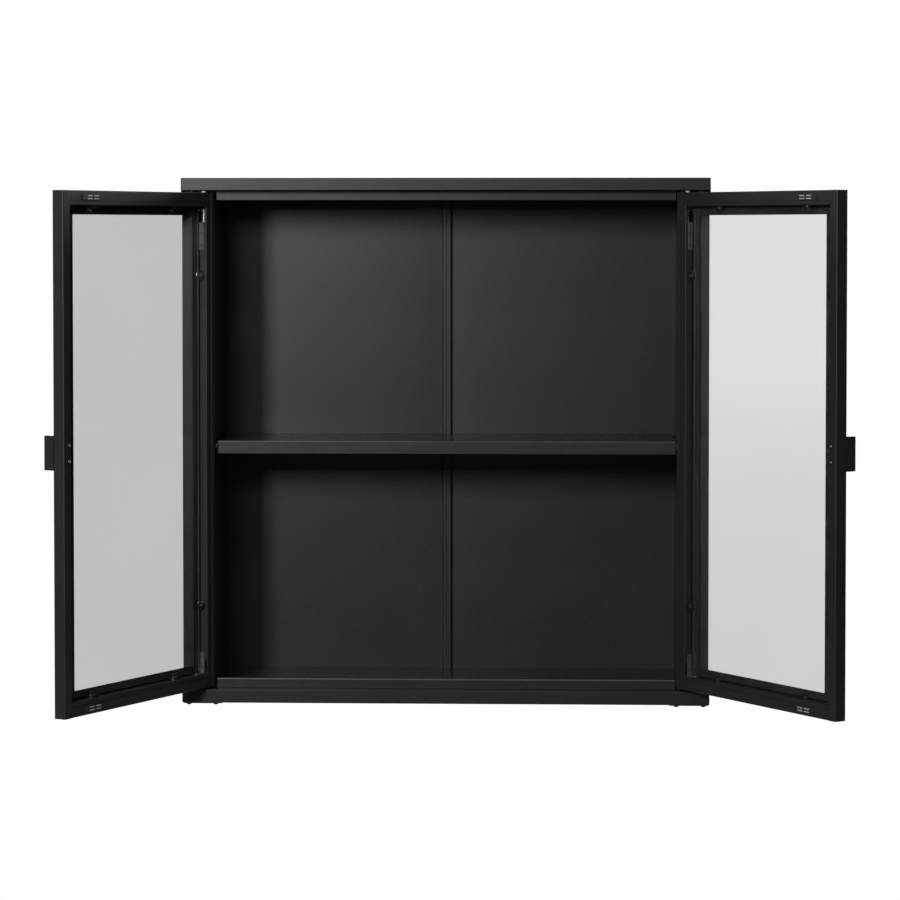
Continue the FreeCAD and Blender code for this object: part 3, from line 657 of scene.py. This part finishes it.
def lug():
    """a: away from the frame wall, n: depth in the door, t: along the wall."""
    bm = bmesh.new()
    half = math.degrees(math.acos((GLASS_N1 + 0.05 - LUG_N) / LUG_R))
    pts = [(LUG_N + LUG_R * math.cos(math.radians(-half + 2 * half * i / 44)),
            LUG_R * math.sin(math.radians(-half + 2 * half * i / 44))) for i in range(45)]
    base = [bm.verts.new((0.0, n, t)) for n, t in pts]
    face = bm.faces.new(base)
    ext = bmesh.ops.extrude_face_region(bm, geom=[face])
    bmesh.ops.translate(bm, vec=(LUG_T, 0, 0), verts=[v for v in ext["geom"] if isinstance(v, bmesh.types.BMVert)])
    bmesh.ops.recalc_face_normals(bm, faces=bm.faces)
    bm.faces.ensure_lookup_table()
    top = [f for f in bm.faces if all(abs(v.co.x - LUG_T) < 1e-6 for v in f.verts)][0]
    bmesh.ops.bevel(bm, geom=list(top.edges), offset=0.8, segments=4, profile=0.5, affect="EDGES")
    top = max((f for f in bm.faces if all(abs(v.co.x - LUG_T) < 1e-6 for v in f.verts)), key=lambda f: f.calc_area())
    bmesh.ops.inset_region(bm, faces=[top], thickness=0.7)
    bmesh.ops.inset_region(bm, faces=[top], thickness=0.35, depth=-0.6)
    return bm


def tongue():
    bm = bmesh.new()
    path = [(3.2, 5.42), (6.0, 5.42), (6.7, 5.47), (7.3, 5.62), (7.75, 5.86)]
    th = 0.34
    lower, upper = [], []
    for i, (a, n) in enumerate(path):
        p, q = path[max(i - 1, 0)], path[min(i + 1, len(path) - 1)]
        d = Vector((q[0] - p[0], q[1] - p[1])).normalized()
        lower.append((a + d.y * th, n - d.x * th))
        upper.append((a - d.y * th, n + d.x * th))
    prof = lower + upper[::-1]
    w = 4.0
    f0 = [bm.verts.new((a, n, -w)) for a, n in prof]
    f1 = [bm.verts.new((a, n, w)) for a, n in prof]
    bm.faces.new(f0[::-1])
    bm.faces.new(f1)
    for i in range(len(prof)):
        j = (i + 1) % len(prof)
        bm.faces.new((f0[i], f0[j], f1[j], f1[i]))
    bmesh.ops.recalc_face_normals(bm, faces=bm.faces)
    sharp = [e for e in bm.edges if e.calc_face_angle(0) > math.radians(50)]
    bmesh.ops.bevel(bm, geom=sharp, offset=0.18, segments=2, profile=0.5, affect="EDGES")
    return bm


def retainer_frames():
    out = []
    for z in (DOOR_Z0 + 110.0, DOOR_Z1 - 110.0):
        out.append(Matrix(((1, 0, 0, X0 + STILE_H), (0, 1, 0, 0), (0, 0, 1, z), (0, 0, 0, 1))))
        out.append(Matrix(((-1, 0, 0, X0 + DOOR_W - STILE_F), (0, 1, 0, 0), (0, 0, 1, z), (0, 0, 0, 1))))
    for u in (80.0, 261.0):
        out.append(Matrix(((0, 0, 1, X0 + u), (0, 1, 0, 0), (1, 0, 0, DOOR_Z0 + RAIL_FL), (0, 0, 0, 1))))
        out.append(Matrix(((0, 0, 1, X0 + u), (0, 1, 0, 0), (-1, 0, 0, DOOR_Z1 - RAIL_FL), (0, 0, 0, 1))))
    return out


ALONG_A = Matrix(((0, 0, 1, 0), (0, 1, 0, 0), (1, 0, 0, 0), (0, 0, 0, 1)))
LUG, TONGUE = lug(), tongue()
SCREW_S = screw(1.6, 0.75, 0.9, 6.0)
SCREW_H = cross_recess(lathe([(0, 1.2), (1.1, 1.17), (1.6, 1.06), (1.95, 0.82), (2.1, 0.5), (3.35, 0.5), (3.55, 0.4),
                              (3.6, 0.25), (3.55, 0.0), (1.5, 0.0), (1.5, -17.6), (1.2, -18.0), (0, -18.0)], 40),
                       1.2, 0.75, 1.35, 0.36)
GLIDE = cross_recess(lathe([(0, 2.5), (1.6, 2.44), (2.5, 2.1), (3.1, 1.5), (3.4, 0.7), (3.4, 0.0), (0, 0.0)], 40),
                     2.5, 1.2, 1.7, 0.45)
RIVET = dome(1.9, 0.9)

for side in ("left", "right"):
    ds = door_space(side)
    body = side + "_door"
    pane(side)
    lugs, tongues, screws_ = bmesh.new(), bmesh.new(), bmesh.new()
    for f in retainer_frames():
        add_mesh(lugs, LUG, ds @ f)
        add_mesh(tongues, TONGUE, ds @ f)
        add_mesh(screws_, SCREW_S, ds @ f @ Matrix.Translation((LUG_T - 0.6, LUG_SCREW_N, 0)) @ ALONG_A)
    to_object(lugs, side + "_retainer_lugs", [MATS["clip_plastic"]], body, side + "_glass_clips", 35)
    to_object(tongues, side + "_retainer_tongues", [MATS["tongue_steel"]], body, side + "_glass_clip_tongues", 35)
    to_object(screws_, side + "_retainer_screws", [MATS["black_fastener"]], body, side + "_clip_screws", 35)

    bm = bmesh.new()
    for k in (-0.5, 0.5):
        m = Matrix.Translation((X0 + DOOR_W - 10.6, DOOR_T, TAB_Z + TAB_PITCH * k)) @ Matrix.Rotation(math.radians(-90), 4, "X")
        add_mesh(bm, SCREW_H, ds @ m)
    screws = to_object(bm, side + "_pull_screws", [MATS["pull_screw"], MATS["screw_washer"]], body, side + "_handle_screws", 35)
    axes = [ds @ Vector((X0 + DOOR_W - 10.6, DOOR_T, TAB_Z + TAB_PITCH * k)) for k in (-0.5, 0.5)]
    n_dir = (ds.to_3x3() @ Vector((0, 1, 0))).normalized()
    for poly in screws.data.polygons:
        ax_ = min(axes, key=lambda a: (a - poly.center).length)
        d = poly.center - ax_
        h = d.dot(n_dir)
        r = (d - n_dir * h).length
        if 0.00212 < r and h > -0.0005:
            poly.material_index = 1

    bm = bmesh.new()
    ax = Matrix.Rotation(math.radians(90), 4, "Y")
    for n, z in ((9.1, 607.0), (9.1, 624.0), (8.7, 46.0), (8.7, 60.0)):
        add_mesh(bm, RIVET, ds @ Matrix.Translation((X0 + STILE_H + 1.2, n, z)) @ ax)
    add_mesh(bm, RIVET, ds @ Matrix.Translation((X0 + STILE_H + 13.0, 8.7, DOOR_Z0 + RAIL_FL + 1.2)))
    to_object(bm, side + "_rivets", [MATS["black_fastener"]], body, side + "_bracket_rivets", 35)

    # coil spring under the top pin's collar: closed end turns, open middle
    z0, z1, wr, cr = 637.65, 651.95, 0.5, 2.3
    turns, per = 4.6, 36
    n_pts = int(turns * per) + 1
    path = []
    for i in range(n_pts):
        t = i / (n_pts - 1)
        w = t * turns
        if w < 0.9:
            z = z0 + w * wr * 2.05
        elif w > turns - 0.9:
            z = z1 - (turns - w) * wr * 2.05
        else:
            za, zb = z0 + 0.9 * wr * 2.05, z1 - 0.9 * wr * 2.05
            z = za + (zb - za) * (w - 0.9) / (turns - 1.8)
        ang = 2 * math.pi * w
        path.append(Vector((-320.0 + cr * math.cos(ang), 8.0 + cr * math.sin(ang), z)))
    bm = bmesh.new()
    rings = []
    for i, p in enumerate(path):
        d = (path[min(i + 1, n_pts - 1)] - path[max(i - 1, 0)]).normalized()
        out = (p - Vector((-320.0, 8.0, p.z))).normalized()
        side_v = d.cross(out).normalized()
        rings.append([bm.verts.new(p + out * wr * math.cos(2 * math.pi * k / 10) + side_v * wr * math.sin(2 * math.pi * k / 10))
                      for k in range(10)])
    for a, b in zip(rings, rings[1:]):
        for k in range(10):
            bm.faces.new((a[k], a[(k + 1) % 10], b[(k + 1) % 10], b[k]))
    bm.faces.new(rings[0][::-1])
    bm.faces.new(rings[-1])
    bm.transform(ds)
    spring = to_object(bm, side + "_coil_spring", [MATS["bright_steel"]], body, side + "_top_pin_spring", 60)
    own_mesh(spring)

# screws under the foot plates
bm = bmesh.new()
for sx in (-1, 1):
    for gy in (12.0, 188.0):
        for gx in (342.0, 306.4):
            add_mesh(bm, GLIDE, CASE_SPACE @ Matrix.Translation((sx * gx, gy, -2.8)) @ Matrix.Rotation(math.pi, 4, "X"))
to_object(bm, "foot_screw_heads", [MATS["black_fastener"]], "case", "foot_screws", 35)
for part in (LUG, TONGUE, SCREW_S, SCREW_H, GLIDE, RIVET):
    part.free()

# ---------------------------------------------------------------------------
# floor, world, lights
# ---------------------------------------------------------------------------
# painted shade in the backdrop's glow: seen through the panes, it is a little darker behind the left door than behind
# the right one
BEHIND_L, BEHIND_R = 0.81, 1.12
bm = bmesh.new()
bmesh.ops.create_grid(bm, x_segments=4, y_segments=4, size=40.0)
me = bpy.data.meshes.new("studio_floor")
bm.to_mesh(me)
bm.free()
floor = link("studio_floor", me)
floor.location = (0, 0, -1.45)
m, nt, b = new_mat("floor_white")
b.inputs["Base Color"].default_value = (0.25, 0.25, 0.25, 1)
b.inputs["Roughness"].default_value = 0.9
em = nt.nodes.new("ShaderNodeEmission")
lp = nt.nodes.new("ShaderNodeLightPath")
place = nt.nodes.new("ShaderNodeSeparateXYZ")
nt.links.new(nt.nodes.new("ShaderNodeNewGeometry").outputs["Position"], place.inputs["Vector"])
fade = nt.nodes.new("ShaderNodeMapRange")
fade.interpolation_type = "SMOOTHSTEP"
for key, val in (("From Min", -0.8), ("From Max", 0.6), ("To Min", BEHIND_L), ("To Max", BEHIND_R)):
    fade.inputs[key].default_value = val
nt.links.new(place.outputs["X"], fade.inputs["Value"])
# painted shade: behind the right door that glow falls off towards the near floor
near = nt.nodes.new("ShaderNodeMapRange")
for key, val in (("From Min", 4.0), ("From Max", 26.0), ("To Min", 0.93), ("To Max", BEHIND_R)):
    near.inputs[key].default_value = val
nt.links.new(place.outputs["Y"], near.inputs["Value"])
nt.links.new(near.outputs["Result"], fade.inputs["To Max"])
lit = nt.nodes.new("ShaderNodeMix")
lit.inputs["A"].default_value = 1.0
nt.links.new(lp.outputs["Is Transmission Ray"], lit.inputs["Factor"])
nt.links.new(fade.outputs["Result"], lit.inputs["B"])
nt.links.new(lit.outputs["Result"], em.inputs["Strength"])
either = direct_view(nt, lp)
mx = nt.nodes.new("ShaderNodeMixShader")
nt.links.new(either, mx.inputs["Fac"])
nt.links.new(b.outputs["BSDF"], mx.inputs[1])
nt.links.new(em.outputs["Emission"], mx.inputs[2])
nt.links.new(mx.outputs["Shader"], nt.nodes["Material Output"].inputs["Surface"])
me.materials.append(m)

BACK, FRONT = 0.14, 0.07
world = bpy.data.worlds.new("studio")
scene.world = world
world.use_nodes = True
wn = world.node_tree
for n in list(wn.nodes):
    wn.nodes.remove(n)
wo = wn.nodes.new("ShaderNodeOutputWorld")
bg = wn.nodes.new("ShaderNodeBackground")
bg.name = "studio_light"
white = wn.nodes.new("ShaderNodeBackground")
white.inputs["Color"].default_value = (1, 1, 1, 1)
white.inputs["Strength"].default_value = 1.0
wt = wn.nodes.new("ShaderNodeTexCoord")
sp = wn.nodes.new("ShaderNodeSeparateXYZ")
wn.links.new(wt.outputs["Generated"], sp.inputs["Vector"])
wr = wn.nodes.new("ShaderNodeMapRange")
wr.name = "studio_range"
wr.interpolation_type = "SMOOTHSTEP"
wr.inputs["From Min"].default_value = -0.25
wr.inputs["From Max"].default_value = 0.35
wr.inputs["To Min"].default_value = FRONT
wr.inputs["To Max"].default_value = BACK
wn.links.new(sp.outputs["Y"], wr.inputs["Value"])
wn.links.new(wr.outputs["Result"], bg.inputs["Strength"])
# painted shade: the white seen through the panes is also dimmer behind the left door than behind the right one
wl = wn.nodes.new("ShaderNodeLightPath")
back = wn.nodes.new("ShaderNodeMapRange")
back.interpolation_type = "SMOOTHSTEP"
for key, val in (("From Min", -0.1), ("From Max", 0.06), ("To Min", BEHIND_L), ("To Max", BEHIND_R)):
    back.inputs[key].default_value = val
wn.links.new(sp.outputs["X"], back.inputs["Value"])
lit = wn.nodes.new("ShaderNodeMix")
lit.inputs["A"].default_value = 1.0
wn.links.new(wl.outputs["Is Transmission Ray"], lit.inputs["Factor"])
wn.links.new(back.outputs["Result"], lit.inputs["B"])
wn.links.new(lit.outputs["Result"], white.inputs["Strength"])
seen = direct_view(wn, wl)
m1 = wn.nodes.new("ShaderNodeMixShader")
wn.links.new(seen, m1.inputs["Fac"])
wn.links.new(bg.outputs[0], m1.inputs[1])
wn.links.new(white.outputs[0], m1.inputs[2])
wn.links.new(m1.outputs[0], wo.inputs["Surface"])


def area(name, loc, target, size, power, size_y=None):
    d = bpy.data.lights.new(name, "AREA")
    d.energy = power
    d.size = size
    if size_y:
        d.shape = "RECTANGLE"
        d.size_y = size_y
    o = bpy.data.objects.new(name, d)
    o.location = loc
    o.rotation_euler = (Vector(target) - Vector(loc)).to_track_quat("-Z", "Y").to_euler()
    scene.collection.objects.link(o)
    o.visible_camera = False
    return o


# name, place, aim, width, watts, height
LIGHTS = [
    ("key", (-1.05, -2.46, 0.43), (-1.05, 0.0, 0.43), 0.35, 29.5, 0.62),
    ("key_wing", (-0.47, -2.46, 0.50), (-0.47, 0.0, 0.50), 0.40, 4.6, 0.40),
    ("overhead", (0.0, -2.4, 1.9), (0.0, -0.1, -0.3), 1.6, 6.0, 0.35),
    ("rear_right", (1.7, 2.3, 0.4), (0.35, 0.0, -0.35), 1.3, 48.0, 1.3),
    ("rear_left", (-1.7, 2.3, 0.4), (-0.35, 0.0, -0.35), 1.3, 48.0, 1.3),
    ("rear_top", (0.0, 1.3, 2.3), (0.0, -0.1, 0.0), 1.6, 14.0, 0.9),
]
# the rear lights don't mirror in the panes
behind = bpy.data.collections.new("rear_light_receivers")
for side in ("left", "right"):
    behind.objects.link(bpy.data.objects[side + "_pane"])
for entry in behind.collection_objects:
    entry.light_linking.link_state = "EXCLUDE"
for args in LIGHTS:
    lamp = area(*args)
    if args[0].startswith("rear"):
        lamp.light_linking.receiver_collection = behind
